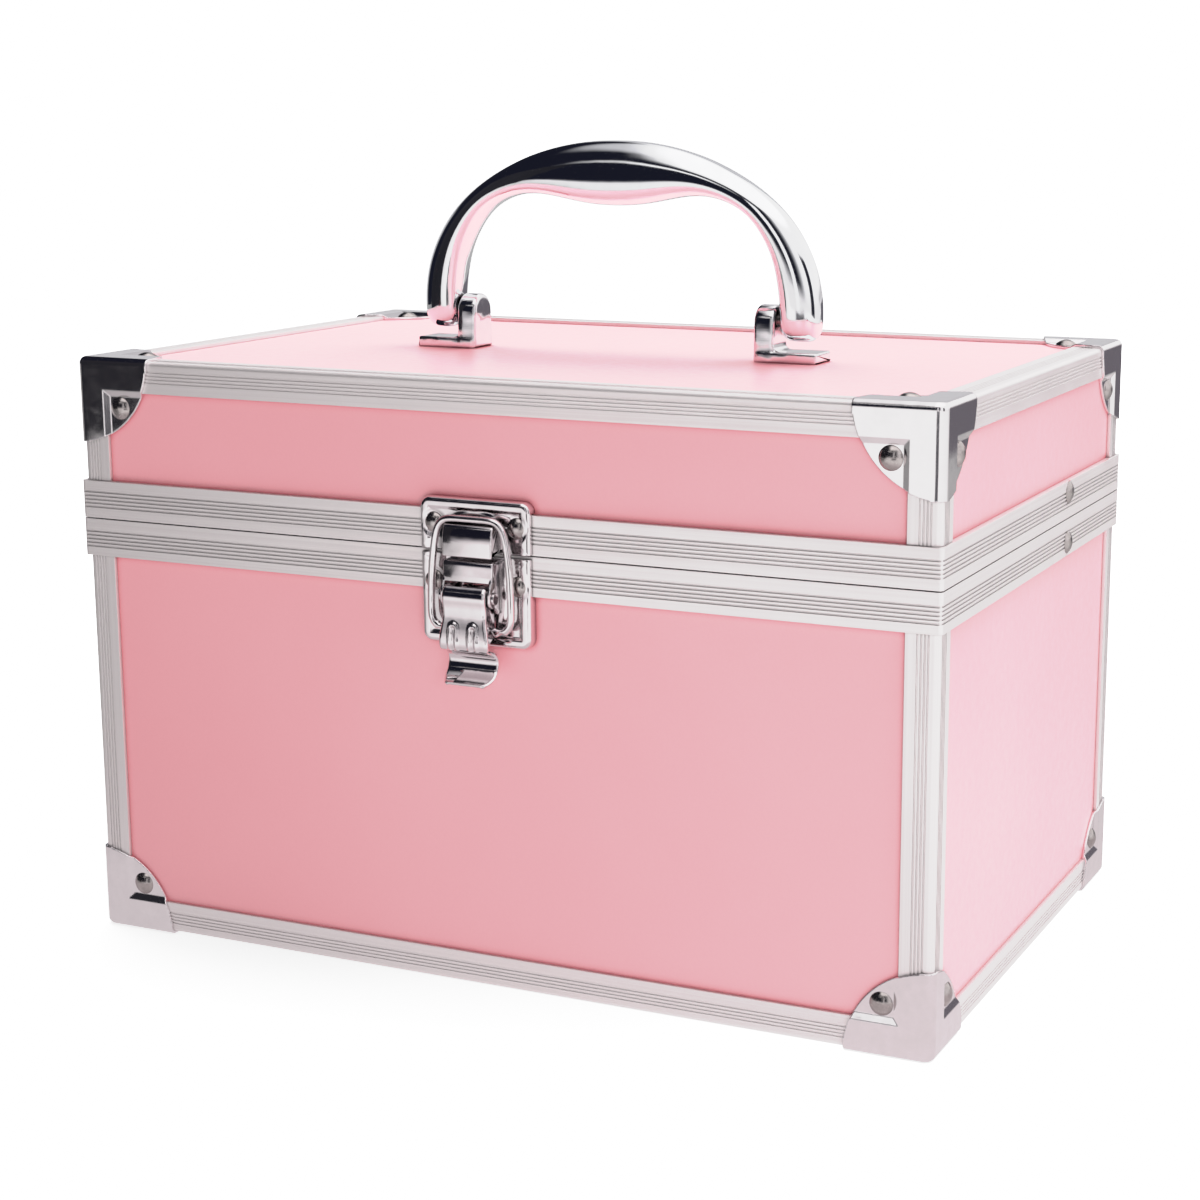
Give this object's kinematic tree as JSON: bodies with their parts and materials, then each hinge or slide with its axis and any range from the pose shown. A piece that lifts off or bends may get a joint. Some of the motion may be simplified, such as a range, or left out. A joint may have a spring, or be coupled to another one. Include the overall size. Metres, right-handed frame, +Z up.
{
  "type": "makeup train case",
  "caption": "Hard-sided hinged cosmetics case with metal edging, corner guards, over-centre latch, folding top handle and a tray that rises with the lid.",
  "frame": {"origin": "bottom centre of the case's bounding box", "axes": "+X to the right seen from the latch side, +Y from the latch side to the hinge side, +Z up"},
  "size_m": [0.2424, 0.1748, 0.2124],
  "materials": {
    "pink_panel": "fine pebble grain, satin",
    "satin_aluminium": "satin anodised with fine grooves",
    "chrome": "mirror",
    "nickel_rivet": "nickel plated, domed",
    "plated_steel": "satin plated",
    "lining_fabric": "short flock",
    "tray_board": "flocked board",
    "mirror_glass": "polished"
  },
  "bodies": {
    "base": {"base_edge_front": "satin_aluminium", "base_edge_rear": "satin_aluminium", "base_edges_side": "satin_aluminium", "base_guard_front_left": "chrome", "base_guard_front_right": "chrome", "base_guard_rear_left": "chrome", "base_guard_rear_right": "chrome", "base_guard_rivets": "nickel_rivet", "base_lining": "lining_fabric", "base_panel_bottom": "pink_panel", "base_panel_front": "pink_panel", "base_panel_left": "pink_panel", "base_panel_rear": "pink_panel", "base_panel_right": "pink_panel", "base_posts": "satin_aluminium", "base_rim": "satin_aluminium", "hinge_leaves_base": "plated_steel", "hinge_pins": "plated_steel", "hinge_rivets_base": "nickel_rivet", "latch_base_plate": "chrome", "latch_base_rivets": "nickel_rivet", "latch_pin": "chrome", "stay_rivets_base": "nickel_rivet"},
    "lid": {"handle_bracket_left": "chrome", "handle_bracket_right": "chrome", "handle_pins": "chrome", "hinge_leaves_lid": "plated_steel", "hinge_rivets_lid": "nickel_rivet", "latch_keeper": "chrome", "latch_keeper_rivets": "nickel_rivet", "lid_edge_front": "satin_aluminium", "lid_edge_rear": "satin_aluminium", "lid_edges_side": "satin_aluminium", "lid_guard_front_left": "chrome", "lid_guard_front_right": "chrome", "lid_guard_rear_left": "chrome", "lid_guard_rear_right": "chrome", "lid_guard_rivets": "nickel_rivet", "lid_lining": "lining_fabric", "lid_mirror": "mirror_glass", "lid_panel_front": "pink_panel", "lid_panel_left": "pink_panel", "lid_panel_rear": "pink_panel", "lid_panel_right": "pink_panel", "lid_panel_top": "pink_panel", "lid_posts": "satin_aluminium", "lid_rim": "satin_aluminium", "stay_rivets_lid": "nickel_rivet"},
    "handle": {"handle_grip": "chrome"},
    "latch_bail": {"latch_bail": "chrome"},
    "latch_lever": {"latch_lever": "chrome"},
    "tray": {"tray": "tray_board", "tray_bracket_left": "plated_steel", "tray_bracket_right": "plated_steel", "tray_rivets": "nickel_rivet"},
    "tray_arms": {"tray_arm_left": "plated_steel", "tray_arm_right": "plated_steel", "tray_pivot_rivets": "nickel_rivet"}
  },
  "joints": [
    {"name": "lid_hinge", "type": "hinge", "parent": "base", "child": "lid", "pos_m": [0, 0.08453, 0.1141], "axis": [-1, 0, 0], "range_deg": [0, 100]},
    {"name": "handle_swing", "type": "hinge", "parent": "lid", "child": "handle", "pos_m": [0, 0.00133, 0.166], "axis": [-1, 0, 0], "range_deg": [-90, 90]},
    {"name": "latch_lever_pivot", "type": "hinge", "parent": "base", "child": "latch_lever", "pos_m": [0, -0.08328, 0.1036], "axis": [-1, 0, 0], "range_deg": [0, 105]},
    {"name": "latch_bail_pivot", "type": "hinge", "parent": "latch_lever", "child": "latch_bail", "pos_m": [0, -0.08228, 0.0952], "axis": [-1, 0, 0], "range_deg": [-106, 1]},
    {"name": "tray_arm_pivot", "type": "hinge", "parent": "base", "child": "tray_arms", "pos_m": [0, 0.02732, 0.1077], "axis": [-1, 0, 0], "range_deg": [-1, 101]},
    {"name": "tray_pivot", "type": "hinge", "parent": "tray_arms", "child": "tray", "pos_m": [0, -0.02987, 0.1148], "axis": [-1, 0, 0], "range_deg": [-101, 1]}
  ],
  "couplings": [
    {"joint": "latch_bail_pivot", "follows": "latch_lever_pivot", "ratio": -1},
    {"joint": "tray_arm_pivot", "follows": "lid_hinge", "ratio": 1},
    {"joint": "tray_pivot", "follows": "lid_hinge", "ratio": -1}
  ]
}
